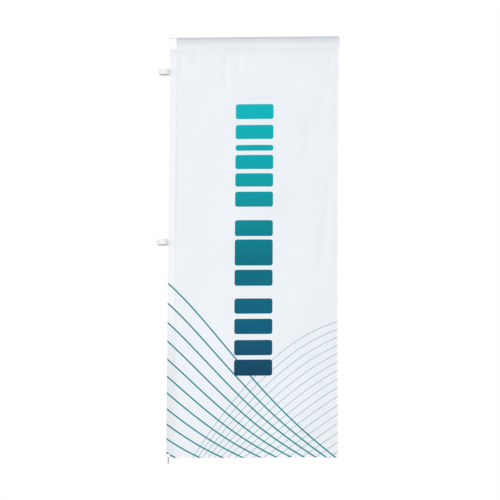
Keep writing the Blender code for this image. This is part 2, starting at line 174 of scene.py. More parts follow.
class BannerStage(bpy.types.PropertyGroup):
    """Where the camera stands, and the light and floor."""

    azimuth: angle("Azimuth", "Where the camera looks from", -4.315)
    elevation: angle("Elevation", "Camera's height above the flag as an angle", -9.379)
    roll: angle("Roll", "Camera's turn about its own axis", 0.3623)
    distance: length("Distance", "From the camera to the flag's centre", 22.0)
    lens: FloatProperty(name="Lens", description="Focal length in millimetres", default=270.08)
    aim: FloatVectorProperty(
        name="Aim", description="Point the camera looks at", size=3, subtype="XYZ",
        default=(0.4843, 0.0029, -1.2610),
    )
    daylight: share("Daylight", "Strength of the light from all round", 0.60)
    floor: length("Floor height", "Height of the floor", -14.0)
    floor_size: length("Floor size", "Half the floor's width", 300)


# ---------------------------------------------------------------- shapes


def smooth(value):
    """From 0 to 1 with no corners, for values from 0 to 1."""
    value = np.clip(value, 0, 1)
    return value * value * (3 - 2 * value)


def sleeve_path():
    """The sleeve's section over the boom: y, z, both parts of its normal, and length so far."""
    cloth = bpy.context.scene.banner_cloth
    radius = sleeve_high.z - cloth.thickness
    drop = -sleeve_low.z
    back_tip = 2 * cloth.thickness
    half = math.acos(radius / drop)
    angles = np.linspace(-math.pi / 2 - half, -2.5 * math.pi + half, 49)
    y = np.concatenate([[0], radius * np.cos(angles), [back_tip]])
    z = np.concatenate([[-drop], radius * np.sin(angles), [-drop]])
    straight = np.linspace(0, 1, 9)[:-1]
    front = [(y[0] + t * (y[1] - y[0]), z[0] + t * (z[1] - z[0])) for t in straight]
    back = [(y[-1] + t * (y[-2] - y[-1]), z[-1] + t * (z[-2] - z[-1])) for t in straight]
    points = np.array([*front, *zip(y[1:-1], z[1:-1]), *back[::-1]])
    steps = np.linalg.norm(np.diff(points, axis=0), axis=1)
    along = np.concatenate([[0], np.cumsum(steps)])
    slope = np.gradient(points, along, axis=0)
    slope /= np.linalg.norm(slope, axis=1)[:, None]
    return points[:, 0], points[:, 1], -slope[:, 1], slope[:, 0], along


def sleeve_length():
    """The flat length of cloth from the seam over the boom and down to the seam again."""
    return sleeve_path()[-1][-1]


# The seam's gathers fade out down the panel and up the sleeve, and start inside the mast side
PANEL_FADE, SLEEVE_FADE, SIDE_FADE = 45 * MM, 16 * MM, 20 * MM


def puckers(u):
    """Gathers along the sleeve's seam, from -1 to 1."""
    return (
        0.5 * np.sin(2 * np.pi * u / 0.047 + 2.3 * np.sin(2 * np.pi * u / 0.31))
        + 0.3 * np.sin(2 * np.pi * u / 0.083 + 1.1)
        + 0.2 * np.sin(2 * np.pi * u / 0.029 + 3.1 * np.sin(2 * np.pi * u / 0.17 + 0.8))
    )


# Each crease: where it starts and ends as u and s, its half width, and its depth as a share.
CREASES = (
    (0.975, 1.72, 0.875, 1.02, 0.030, 1.0),
    (0.945, 1.40, 0.900, 1.05, 0.018, 0.5),
    (0.985, 2.44, 0.900, 2.20, 0.026, 0.9),
    (0.930, 2.20, 0.860, 1.85, 0.034, 0.5),
    (0.840, 2.12, 0.800, 1.70, 0.030, 0.6),
    (0.076, 2.44, 0.066, 2.22, 0.013, 0.7),
    (0.100, 2.30, 0.082, 2.08, 0.016, 0.4),
    (0.055, 2.05, 0.052, 1.12, 0.014, 0.5),
    (0.155, 2.44, 0.140, 2.30, 0.013, 0.5),
    (0.340, 2.45, 0.330, 2.14, 0.018, 0.55),
    (0.400, 2.45, 0.405, 2.22, 0.022, 0.6),
    (0.045, 0.90, 0.075, 0.20, 0.026, 0.7),
    (0.760, 1.75, 0.640, 1.30, 0.045, 0.4),
    (0.300, 1.60, 0.200, 0.90, 0.060, 0.4),
    (0.820, 0.95, 0.960, 0.20, 0.050, 0.5),
)


def relief(u, s):
    """How far the cloth of the panel stands behind its flat plane."""
    cloth = bpy.context.scene.banner_cloth
    across, up = u / CLOTH_WIDTH, s / SEAM_HEIGHT
    free = smooth((u - TAPE_WIDTH) / 0.30) * smooth((SEAM_HEIGHT - s) / 0.55)
    broad = (
        0.60 * np.sin(2 * np.pi * (0.95 * across + 0.30 * up) + 0.5)
        + 0.30 * np.sin(2 * np.pi * (1.90 * across - 0.65 * up) + 2.0)
        + 0.18 * np.sin(2 * np.pi * (0.70 * across + 1.70 * up) + 4.1)
    )
    depth = cloth.fold_depth * broad * free * (1 - 0.45 * up)
    for u0, s0, u1, s1, width, amount in CREASES:
        du, ds = u1 - u0, s1 - s0
        t = ((u - u0) * du + (s - s0) * ds) / (du * du + ds * ds)
        inside = smooth(t / 0.3) * smooth((1 - t) / 0.3)
        away = ((u - u0) * ds - (s - s0) * du) / math.hypot(du, ds)
        depth = depth + cloth.crease_depth * amount * inside * np.exp(-((away / width) ** 2))
    near_seam = np.exp(-(SEAM_HEIGHT - s) / PANEL_FADE) * smooth(u / SIDE_FADE)
    return depth + cloth.pucker_depth * puckers(u) * near_seam


def hang(u, s, proud=0.0):
    """Points on the hanging cloth as an (n, 3) array, that far in front of its middle surface."""
    cloth = bpy.context.scene.banner_cloth
    u, s = np.broadcast_arrays(np.asarray(u, float), np.asarray(s, float))
    step = 2 * MM
    low = np.minimum(s, SEAM_HEIGHT)
    depth = relief(u, low)
    tilt_u = (relief(u + step, low) - relief(u - step, low)) / (2 * step)
    tilt_s = (relief(u, low) - relief(u, low - step)) / step
    normal = np.stack([tilt_u, -np.ones_like(u), tilt_s], axis=-1)
    normal /= np.linalg.norm(normal, axis=-1)[..., None]
    across, up = u / CLOTH_WIDTH, low / SEAM_HEIGHT
    drawn_in = 4.5 * MM * across**2 * np.sin(np.pi * up)
    sag = 1.6 * MM * np.sin(2 * np.pi * across) * across * (1 - up) ** 6
    points = np.stack([MAST_EDGE + u - drawn_in, depth, BOTTOM + low - sag], axis=-1)
    points = points + normal * np.asarray(proud)[..., None]

    over = s - SEAM_HEIGHT
    y, z, normal_y, normal_z, along = sleeve_path()
    py, pz = np.interp(over, along, y), np.interp(over, along, z)
    ny, nz = np.interp(over, along, normal_y), np.interp(over, along, normal_z)
    front_gather = -np.exp(-np.maximum(over, 0) / SLEEVE_FADE)
    back_gather = np.exp(-np.maximum(along[-1] - over, 0) / SLEEVE_FADE)
    gather = cloth.pucker_depth * puckers(u) * (front_gather + back_gather)
    out = gather * smooth(u / SIDE_FADE) + proud
    upper = np.stack([MAST_EDGE + u, py + ny * out, pz + nz * out], axis=-1)
    return np.where((over > 0)[..., None], upper, points)


def spaced(start, end, pitch):
    """Evenly spaced positions about that far apart, both ends included."""
    return np.linspace(start, end, max(2, round(abs(end - start) / pitch) + 1))


def round_the_eyelet(positions, middle):
    """Those positions, with the ones near the eyelet replaced by four that make its hole."""
    kept = positions[abs(positions - middle) > EYELET_HOLE + 2 * MM]
    return np.sort([*kept, *(middle + EYELET_HOLE * np.array([-1, -0.4, 0.4, 1]))])


def sheet_mesh(name, across, along, place, eyelet=False):
    """A grid laid by place(u, s), with its flat position as its UV map and a hole if asked."""
    hole = []
    if eyelet:
        across, along = round_the_eyelet(across, EYE_U), round_the_eyelet(along, EYE_S)
    bm = bmesh.new()
    bmesh.ops.create_grid(bm, x_segments=len(across) - 1, y_segments=len(along) - 1, size=1)
    bm.verts.index_update()
    rest = (np.array([vert.co[:2] for vert in bm.verts]) + 1) / 2
    u = np.interp(rest[:, 0], np.linspace(0, 1, len(across)), across)
    s = np.interp(rest[:, 1], np.linspace(0, 1, len(along)), along)

    if eyelet:
        # The square of grid lines round it is drawn in to a ring, and what is in it is cut out
        off_u, off_s = u - EYE_U, s - EYE_S
        square = np.maximum(abs(off_u), abs(off_s))
        rim = abs(square - EYELET_HOLE) < 0.01 * MM
        pull = np.where(rim, EYELET_HOLE / np.maximum(np.hypot(off_u, off_s), MM), 1)
        u, s = EYE_U + off_u * pull, EYE_S + off_s * pull
        hole = [vert for vert, reach in zip(bm.verts, square) if reach < 0.9 * EYELET_HOLE]
    for vert, point in zip(bm.verts, place(u, s)):
        vert.co = point
    layer = bm.loops.layers.uv.new("flat")
    flat_u, flat_s = u - across[0], s - along[0]
    for face in bm.faces:
        face.smooth = True
        for loop in face.loops:
            index = loop.vert.index
            loop[layer].uv = (flat_u[index] / FLAT_SPAN, flat_s[index] / FLAT_SPAN)
    bmesh.ops.delete(bm, geom=hole, context="VERTS")
    return new_piece(name, bm)


def new_piece(name, bm):
    """An object made from a bmesh, with its place in its mesh."""
    mesh = bpy.data.meshes.new(name)
    bm.to_mesh(mesh)
    bm.free()
    piece = bpy.data.objects.new(name, mesh)
    bpy.context.scene.collection.objects.link(piece)
    return piece


def thicken(piece, thickness, *materials, bevel=0.0):
    """Gives a sheet its materials, front then back, its thickness, and a bevel if there is one."""
    for material in materials:
        piece.data.materials.append(material)
    shell = piece.modifiers.new("thickness", "SOLIDIFY")
    shell.thickness = thickness
    shell.offset = 0
    shell.use_even_offset = True
    shell.material_offset = len(materials) - 1
    if bevel:
        rounding = piece.modifiers.new("edges", "BEVEL")
        rounding.width = bevel
        rounding.segments = 2
        rounding.limit_method = "ANGLE"
        rounding.angle_limit = math.radians(60)
    apply_modifiers(piece)


def apply_modifiers(piece):
    """Makes a piece's mesh what its modifiers show, with its corners kept crisp."""
    bpy.context.view_layer.update()
    graph = bpy.context.evaluated_depsgraph_get()
    mesh = bpy.data.meshes.new_from_object(piece.evaluated_get(graph))
    piece.modifiers.clear()
    piece.data = mesh
    mesh.set_sharp_from_angle(angle=math.radians(40))


def dress(piece, body, slot, *materials):
    """Gives a piece its materials and the body it moves with; its slot is not used."""
    for material in materials:
        piece.data.materials.append(material)
    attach(piece, body)


def smoothed_copy(node, name, body, slot, material):
    """A welded, smooth-shaded stand-in for one of the frame's own pieces."""
    source = bpy.data.objects[node]
    bm = bmesh.new()
    bm.from_mesh(source.data)
    bmesh.ops.remove_doubles(bm, verts=bm.verts, dist=WELD)
    piece = new_piece(name, bm)
    piece.data.materials.clear()
    piece.data.shade_smooth()
    piece.data.set_sharp_from_angle(angle=math.radians(35))
    dress(piece, body, slot, material)
    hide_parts(node)


# ---------------------------------------------------------------- materials


def darker(base, amount):
    return tuple(amount * c for c in base)


class Finish:
    """A material under construction, with short ways to add its nodes."""

    def __init__(self, name, roughness, metallic=0.0, sheen=0.0, gloss=0.5, base=None):
        self.material = bpy.data.materials.new(name)
        self.material.use_nodes = True
        self.tree = self.material.node_tree
        self.shader = self.tree.nodes["Principled BSDF"]
        self.shader.inputs["Roughness"].default_value = roughness
        self.shader.inputs["Metallic"].default_value = metallic
        self.shader.inputs["Sheen Weight"].default_value = sheen
        self.shader.inputs["Specular IOR Level"].default_value = gloss
        if base is not None:
            self.shader.inputs["Base Color"].default_value = (*base, 1)
            self.material.diffuse_color = (*base, 1)

    def put(self, socket, value):
        if isinstance(value, bpy.types.NodeSocket):
            self.tree.links.new(value, socket)
        elif hasattr(value, "__len__") and len(value) == 3 and socket.type == "RGBA":
            socket.default_value = (*value, 1)
        else:
            socket.default_value = value

    def math(self, operation, *values):
        node = self.tree.nodes.new("ShaderNodeMath")
        node.operation = operation
        for socket, value in zip(node.inputs, values):
            self.put(socket, value)
        return node.outputs[0]

    def times(self, one, other):
        return self.math("MULTIPLY", one, other)

    def distance(self, one, other):
        return self.math("ABSOLUTE", self.math("SUBTRACT", one, other))

    def wave(self, value, pitch):
        """A sine wave of that pitch, from -1 to 1."""
        return self.math("SINE", self.times(value, 2 * math.pi / pitch))

    def polynomial(self, x, terms):
        """terms[0] + terms[1] x + terms[2] x2 and so on."""
        total = terms[-1]
        for term in reversed(terms[:-1]):
            total = self.math("MULTIPLY_ADD", x, total, term)
        return total

    def step(self, value, low, high):
        """From 0 at low to 1 at high, smoothly."""
        node = self.tree.nodes.new("ShaderNodeMapRange")
        node.interpolation_type = "SMOOTHSTEP"
        self.put(node.inputs["Value"], value)
        node.inputs["From Min"].default_value = low
        node.inputs["From Max"].default_value = high
        return node.outputs["Result"]

    def mix(self, factor, one, other):
        node = self.tree.nodes.new("ShaderNodeMix")
        node.data_type = "RGBA"
        self.put(node.inputs["Factor"], factor)
        self.put(node.inputs[6], one)
        self.put(node.inputs[7], other)
        return node.outputs[2]

    def ramp(self, value, stops, constant=False):
        node = self.tree.nodes.new("ShaderNodeValToRGB")
        ramp = node.color_ramp
        ramp.interpolation = "CONSTANT" if constant else "LINEAR"
        while len(ramp.elements) < len(stops):
            ramp.elements.new(0.5)
        for element, (position, value_at) in zip(ramp.elements, stops):
            element.position = position
        for element, (position, value_at) in zip(ramp.elements, stops):
            element.color = (*value_at, 1)
        self.put(node.inputs["Fac"], value)
        return node.outputs["Color"]

    def parts(self, vector):
        node = self.tree.nodes.new("ShaderNodeSeparateXYZ")
        self.put(node.inputs[0], vector)
        return node.outputs

    def flat(self):
        """The flat position on a sewn piece, u and s in metres."""
        node = self.tree.nodes.new("ShaderNodeUVMap")
        node.uv_map = "flat"
        u, s, _ = self.parts(node.outputs["UV"])
        return self.times(u, FLAT_SPAN), self.times(s, FLAT_SPAN)

    def place(self):
        return self.tree.nodes.new("ShaderNodeTexCoord").outputs["Object"]

    def noise(self, scale, detail, stretch=(1, 1, 1)):
        mapping = self.tree.nodes.new("ShaderNodeMapping")
        mapping.inputs["Scale"].default_value = stretch
        self.put(mapping.inputs["Vector"], self.place())
        node = self.tree.nodes.new("ShaderNodeTexNoise")
        node.inputs["Scale"].default_value = scale
        node.inputs["Detail"].default_value = detail
        self.put(node.inputs["Vector"], mapping.outputs[0])
        return node.outputs["Fac"]

    def bump(self, height, distance, strength):
        node = self.tree.nodes.new("ShaderNodeBump")
        node.inputs["Strength"].default_value = strength
        node.inputs["Distance"].default_value = distance
        self.put(node.inputs["Height"], height)
        earlier = self.shader.inputs["Normal"].links
        if earlier:
            self.put(node.inputs["Normal"], earlier[0].from_socket)
        self.put(self.shader.inputs["Normal"], node.outputs[0])

    def colour(self, value):
        self.put(self.shader.inputs["Base Color"], value)

    def rough(self, value):
        self.put(self.shader.inputs["Roughness"], value)

    def varied(self, base, by, amount):
        """The base colour, darkened and lightened a little by a noise."""
        base = Vector(base)
        dark, light = base * (1 - amount), [min(1, c) for c in base * (1 + amount)]
        return self.mix(self.step(by, 0.3, 0.7), tuple(dark), tuple(light))


# The column's blocks from the top down: the top and bottom of each, as s in metres.
BLOCKS = (
    (2.095, 2.005), (1.970, 1.885), (1.850, 1.815), (1.790, 1.705), (1.680, 1.600), (1.570, 1.480),
    (1.400, 1.305), (1.285, 1.130), (1.105, 1.010),
    (0.935, 0.845), (0.815, 0.725), (0.690, 0.600), (0.575, 0.480),
)
COLUMN_MIDDLE = 0.505
COLUMN_HALF = 0.112
BLOCK_CORNER = 0.014
COLUMN_INKS = (
    (0.00, (0.0070, 0.052, 0.102)),
    (0.18, (0.0040, 0.105, 0.185)),
    (0.42, (0.0035, 0.150, 0.200)),
    (0.75, (0.0030, 0.335, 0.375)),
    (1.00, (0.0035, 0.425, 0.465)),
)
KNIT_WALE, KNIT_COURSE = 1.3 * MM, 1.7 * MM

# Half the width over which a printed edge goes from ink to bare cloth
INK_EDGE = 0.4 * MM

# Both sets of lines run as s = first(x) + order * apart(x), where each is a polynomial of the
# distance x from a side edge. A line's order is its number n plus a little of n squared, which
# is what "uneven" gives.
FAN = {
    "first": (1.028, -0.874, -1.071, 1.383, -0.475),
    "apart": (-0.1202, -0.0287, 0.2024, -0.0919),
    "uneven": (-0.0170, -0.0430),
    "last": 10,
}
ARCS = {
    "first": (0.797, -0.297, -0.756, -0.012),
    "apart": (-0.0456, -0.0542, 0.0154, 0.0663),
    "uneven": (0.0076, -0.0486),
    "last": 15,
}


def knit_grid(finish, u, s):
    """The knit's wales and courses: 1 in its pinholes and -1 on the loops beside them."""
    return finish.times(finish.wave(u, KNIT_WALE), finish.wave(s, KNIT_COURSE))


def knit_shade(finish, u, s, shade):
    """Darkens a colour in the knit's pinholes with painted shade."""
    holes = finish.step(knit_grid(finish, u, s), 0.45, 1.0)
    scaled = finish.tree.nodes.new("ShaderNodeVectorMath")
    scaled.operation = "SCALE"
    finish.put(scaled.inputs[0], shade)
    finish.put(scaled.inputs["Scale"], finish.math("MULTIPLY_ADD", holes, -0.13, 1))
    return scaled.outputs[0]


def knit_relief(finish, u, s):
    """Sinks the knit's pinholes and raises its loops."""
    finish.bump(finish.times(knit_grid(finish, u, s), -1), 0.12 * MM, 0.6)


def painted_sleeve_top_shade(finish, s):
    """How much painted shade the sleeve gets where it rounds the boom, from 0 at the seam to 1 over
    its top.
    """
    half = sleeve_length() / 2
    from_top = finish.distance(s, SEAM_HEIGHT + half)
    near = finish.math("DIVIDE", finish.math("SUBTRACT", half, from_top), half)
    return finish.math("POWER", finish.math("MAXIMUM", near, 0), 1.8)


def drawn_lines(finish, x, s, lines, width):
    """1 on a set of lines and 0 off them: finds the nearest line, then how far away it is."""
    keys = ("first", "apart", "uneven")
    start, gap, uneven = (finish.polynomial(x, lines[key]) for key in keys)
    order = finish.math("DIVIDE", finish.math("SUBTRACT", s, start), gap)
    root = finish.math("MULTIPLY_ADD", finish.times(order, uneven), 4, 1)
    root = finish.math("SQRT", finish.math("MAXIMUM", root, 0))
    number = finish.math("DIVIDE", finish.times(order, 2), finish.math("ADD", root, 1))
    number = finish.math("ROUND", number)
    number = finish.math("MINIMUM", finish.math("MAXIMUM", number, 0), lines["last"])
    square = finish.times(number, number)
    order = finish.math("MULTIPLY_ADD", square, uneven, number)
    height = finish.math("MULTIPLY_ADD", order, gap, start)

    # Across a sloping line the distance is shorter than straight up
    slopes = [
        finish.polynomial(x, [power * c for power, c in enumerate(lines[key])][1:])
        for key in keys
    ]
    slope = finish.math("MULTIPLY_ADD", order, slopes[1], slopes[0])
    swing = finish.times(finish.times(square, slopes[2]), gap)
    slope = finish.math("ADD", slope, swing)
    steep = finish.math("SQRT", finish.math("MULTIPLY_ADD", slope, slope, 1))
    away = finish.math("DIVIDE", finish.distance(s, height), steep)
    return finish.step(away, width / 2 + INK_EDGE, width / 2 - INK_EDGE)


def backed_cloth(finish, u, s, mottle):
    """The plain cloth: whiter where it is backed, with painted shade greying the lower corner on
    the mast side.
    """
    cloth = bpy.context.scene.banner_cloth
    fly_in = CLOTH_WIDTH - cloth.fly_hem
    header = finish.step(u, TAPE_WIDTH, TAPE_WIDTH - 1.5 * MM)
    # Painted shade: the backed header's extra whiteness fades out towards the bottom, from 0.95 m
    # down to 0.5 m.
    header = finish.times(header, finish.step(s, 0.50, 0.95))
    fly = finish.times(finish.step(u, fly_in - MM, fly_in), 0.5)
    foot = finish.step(s, cloth.bottom_hem + MM, cloth.bottom_hem)
    backed = finish.math("MAXIMUM", finish.math("MAXIMUM", header, fly), foot)
    plain = finish.varied(cloth.base, mottle, 0.012)
    shade = finish.mix(backed, plain, tuple(cloth.doubled))

    # Painted shade greys the lower corner on the mast side, blotched by the mottle.
    painted_corner_shade = finish.times(finish.step(u, 75 * MM, 0), finish.step(s, 0.95, 0.30))
    painted_corner_shade = finish.times(painted_corner_shade, finish.math("MULTIPLY_ADD", mottle, 0.6, 0.45))
    return finish.mix(painted_corner_shade, shade, darker(cloth.base, 0.88))


def shaded_seams(finish, u, s, shade):
    """Paints shade on the cloth: dark lines along its seams, a band just under the sleeve's seam,
    and the darkening over the top of the sleeve.
    """
    cloth = bpy.context.scene.banner_cloth
    dark = darker(cloth.base, 0.88)
    # Painted shade: soft dark lines along the header's inner edge, the fly hem's inner edge and the
    # sleeve's seam.
    painted_seam_shade = 0
    for at, reach, value in (
        (TAPE_WIDTH + 2 * MM, 4 * MM, u),
        (CLOTH_WIDTH - cloth.fly_hem - 2 * MM, 3 * MM, u),
        (SEAM_HEIGHT, 4 * MM, s),
    ):
        painted_seam_shade = finish.math("MAXIMUM", painted_seam_shade, finish.step(finish.distance(value, at), reach, 0))
    shade = finish.mix(finish.times(painted_seam_shade, 0.55), shade, dark)

    # Painted shade in a soft band just under the sleeve's seam.
    under = finish.step(s, SEAM_HEIGHT - 65 * MM, SEAM_HEIGHT - 2 * MM)
    under = finish.times(under, finish.step(s, SEAM_HEIGHT, SEAM_HEIGHT - 5 * MM))
    shade = finish.mix(finish.times(under, 0.42), shade, dark)
    # Painted shade over the top of the sleeve, darkest where it rounds the boom's top.
    return finish.mix(painted_sleeve_top_shade(finish, s), shade, darker(cloth.base, 0.63))


def block_column(finish, u, s):
    """1 on the column's blocks, which have round corners, and how far up the column s is."""
    top, bottom = BLOCKS[0][0], BLOCKS[-1][1]
    run = top - bottom
    height = finish.math("DIVIDE", finish.math("SUBTRACT", s, bottom), run)

    # A ramp's red gives the middle of the nearest block and its green gives twice its height
    cells = []
    start = 0.0
    for index, (high, low) in enumerate(reversed(BLOCKS)):
        cells.append((start, (((high + low) / 2 - bottom) / run, 2 * (high - low) / run, 0)))
        if index + 1 < len(BLOCKS):
            start = ((high + BLOCKS[-index - 2][1]) / 2 - bottom) / run
    middle, size, _ = finish.parts(finish.ramp(height, cells, constant=True))

    over_s = finish.distance(height, middle)
    over_s = finish.math("SUBTRACT", over_s, finish.math("DIVIDE", size, 4))
    over_s = finish.math("MULTIPLY_ADD", over_s, run, BLOCK_CORNER)
    aside = finish.distance(u, COLUMN_MIDDLE)
    over_u = finish.math("SUBTRACT", aside, COLUMN_HALF - BLOCK_CORNER)
    squares = [finish.math("POWER", finish.math("MAXIMUM", x, 0), 2) for x in (over_u, over_s)]
    corner = finish.math("SQRT", finish.math("ADD", *squares))
    return finish.step(corner, BLOCK_CORNER + 0.5 * MM, BLOCK_CORNER - 0.5 * MM), height


def printed_knit(name, strength):
    """The white knit with its print, by flat position."""
    inks = bpy.context.scene.banner_print
    finish = Finish(name, 0.82, sheen=0.04, gloss=0.08)
    u, s = finish.flat()
    mottle = finish.noise(2.6, 4.0)
    shade = backed_cloth(finish, u, s, mottle)
    shade = shaded_seams(finish, u, s, shade)

    # Thin arcs from the fly side, a fan of bold lines from the mast side, then the blocks
    from_fly = finish.math("SUBTRACT", CLOTH_WIDTH, u)
    arcs = drawn_lines(finish, from_fly, s, ARCS, inks.arc_width)
    shade = finish.mix(finish.times(arcs, strength), shade, tuple(inks.arc_ink))
    lines = drawn_lines(finish, u, s, FAN, inks.line_width)
    shade = finish.mix(finish.times(lines, strength), shade, tuple(inks.line_ink))
    blocks, height = block_column(finish, u, s)
    column = finish.ramp(height, COLUMN_INKS)
    shade = finish.mix(finish.times(blocks, strength), shade, column)
    finish.colour(knit_shade(finish, u, s, shade))

    knit_relief(finish, u, s)
    finish.bump(finish.noise(38.0, 3.0), 0.35 * MM, 0.35)
    finish.rough(finish.math("MULTIPLY_ADD", mottle, 0.1, 0.76))
    return finish.material


def woven_webbing(name, base, rib_pitch):
    """Flat-woven tape with a herringbone of ribs."""
    finish = Finish(name, 0.85, sheen=0.05, gloss=0.2)
    u, s = finish.flat()
    zigzag = finish.math("PINGPONG", u, 4 * MM)
    ribs = finish.wave(finish.math("MULTIPLY_ADD", zigzag, 1.2, s), rib_pitch)
    weave = finish.math("MULTIPLY_ADD", finish.wave(u, 0.9 * MM), 0.35, ribs)
    fuzz = finish.noise(700.0, 3.0)
    shade = finish.varied(base, finish.noise(9.0, 4.0), 0.02)
    # Painted shade: the weave's low parts between the ribs are darker.
    finish.colour(finish.mix(finish.step(weave, 0.2, -1.1), shade, darker(base, 0.86)))
    finish.bump(weave, 0.16 * MM, 0.7)
    finish.bump(fuzz, 0.08 * MM, 0.5)
    return finish.material


def sewing_thread():
    finish = Finish("polyester_thread", 0.6, sheen=0.3)
    ink = bpy.context.scene.banner_thread.ink
    finish.colour(finish.varied(ink, finish.noise(420.0, 2.0), 0.06))
    finish.bump(finish.noise(2400.0, 2.0), 0.05 * MM, 0.6)
    return finish.material


def hook_tape():
    """Rows of fine hooks."""
    finish = Finish("hook_tape", 0.5)
    x, _, z = finish.parts(finish.place())
    grid = finish.times(finish.wave(z, 1.6 * MM), finish.wave(x, 1.3 * MM))
    # Painted shade: the tape is darker grey in the low parts between the hooks.
    finish.colour(finish.mix(finish.step(grid, -0.4, 0.6), (0.50, 0.52, 0.54), (0.74, 0.76, 0.77)))
    finish.bump(grid, 0.5 * MM, 0.8)
    return finish.material


def loop_tape():
    """A brushed pile of fine loops."""
    finish = Finish("loop_tape", 0.95, sheen=0.6)
    pile = finish.noise(900.0, 5.0)
    # Painted shade: the pile is darker in its low parts.
    finish.colour(finish.mix(finish.step(pile, 0.35, 0.65), (0.66, 0.68, 0.69), (0.82, 0.83, 0.84)))
    finish.bump(pile, 0.5 * MM, 0.8)
    return finish.material


def drawn_metal(name, base, roughness, stretch, scale=900.0):
    """Metal with fine lines along the way it was drawn, and faint handling marks."""
    finish = Finish(name, roughness, metallic=1.0)
    lines = finish.noise(scale, 2.0, stretch=stretch)
    marks = finish.noise(35.0, 5.0)
    finish.colour(finish.varied(base, marks, 0.05))
    finish.rough(finish.math("MULTIPLY_ADD", marks, 0.22, roughness - 0.11))
    finish.bump(lines, 0.03 * MM, 0.4)
    return finish.material


def moulded_plastic():
    finish = Finish("grey_plastic", 0.5)
    grain = finish.noise(1500.0, 2.0)
    finish.colour(finish.varied((0.30, 0.31, 0.32), finish.noise(60.0, 3.0), 0.06))
    finish.bump(grain, 0.04 * MM, 0.5)
    return finish.material


# ---------------------------------------------------------------- pieces


def cloth_materials():
    """The cloth's two faces, made once."""
    found = [bpy.data.materials.get(n) for n in ("printed_knit", "printed_knit_back")]
    if None in found:
        strength = bpy.context.scene.banner_print.back_strength
        found = [printed_knit("printed_knit", 1.0), printed_knit("printed_knit_back", strength)]
    return found


def header_webbing():
    webbing = bpy.context.scene.banner_webbing
    return bpy.data.materials.get("header_webbing") or woven_webbing(
        "header_webbing", webbing.header, webbing.rib_pitch
    )


class BANNER_OT_cloth(bpy.types.Operator):
    """Hangs the printed cloth, which goes up over the boom and down to its own seam."""

    bl_idname = "banner.cloth"
    bl_label = "Hang Cloth"

    def execute(self, context):
        cloth = context.scene.banner_cloth
        columns = spaced(0, CLOTH_WIDTH, cloth.column_pitch)
        near_seam = SEAM_HEIGHT - 60 * MM
        rows = np.concatenate(
            [
                spaced(0, near_seam, cloth.row_pitch)[:-1],
                spaced(near_seam, SEAM_HEIGHT, 6 * MM)[:-1],
                SEAM_HEIGHT + spaced(0, sleeve_length(), 4 * MM),
            ]
        )
        piece = sheet_mesh("printed_cloth", columns, rows, hang, eyelet=True)
        front, back = cloth_materials()
        thicken(piece, cloth.thickness, front, back)
        dress(piece, "flag", "white_knit")
        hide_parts("flag_panel", "top_sleeve")
        return {"FINISHED"}


class BANNER_OT_hems(bpy.types.Operator):
    """Folds the hems over behind the cloth, along its free side and its bottom."""

    bl_idname = "banner.hems"
    bl_label = "Fold Hems"

    def execute(self, context):
        cloth = context.scene.banner_cloth
        behind = -1.3 * cloth.thickness
        fly_in = CLOTH_WIDTH - cloth.fly_hem
        strips = (
            ("fly_hem", spaced(fly_in, CLOTH_WIDTH, 5 * MM), spaced(0, SEAM_HEIGHT, 12 * MM)),
            (
                "bottom_hem",
                spaced(TAPE_WIDTH + MM, fly_in - MM, 8 * MM),
                spaced(0, cloth.bottom_hem, 4 * MM),
            ),
        )
        for name, across, along in strips:
            piece = sheet_mesh(name, across, along, lambda u, s: hang(u, s, behind))
            thicken(piece, 1.2 * cloth.thickness, plain_knit())
            dress(piece, "flag", "white_knit")
        return {"FINISHED"}


def plain_knit():
    found = bpy.data.materials.get("plain_knit")
    if found:
        return found
    finish = Finish("plain_knit", 0.82, sheen=0.05, gloss=0.15)
    base = bpy.context.scene.banner_cloth.doubled
    u, s = finish.flat()
    shade = finish.varied(base, finish.noise(14.0, 4.0), 0.015)
    finish.colour(knit_shade(finish, u, s, shade))
    knit_relief(finish, u, s)
    return finish.material


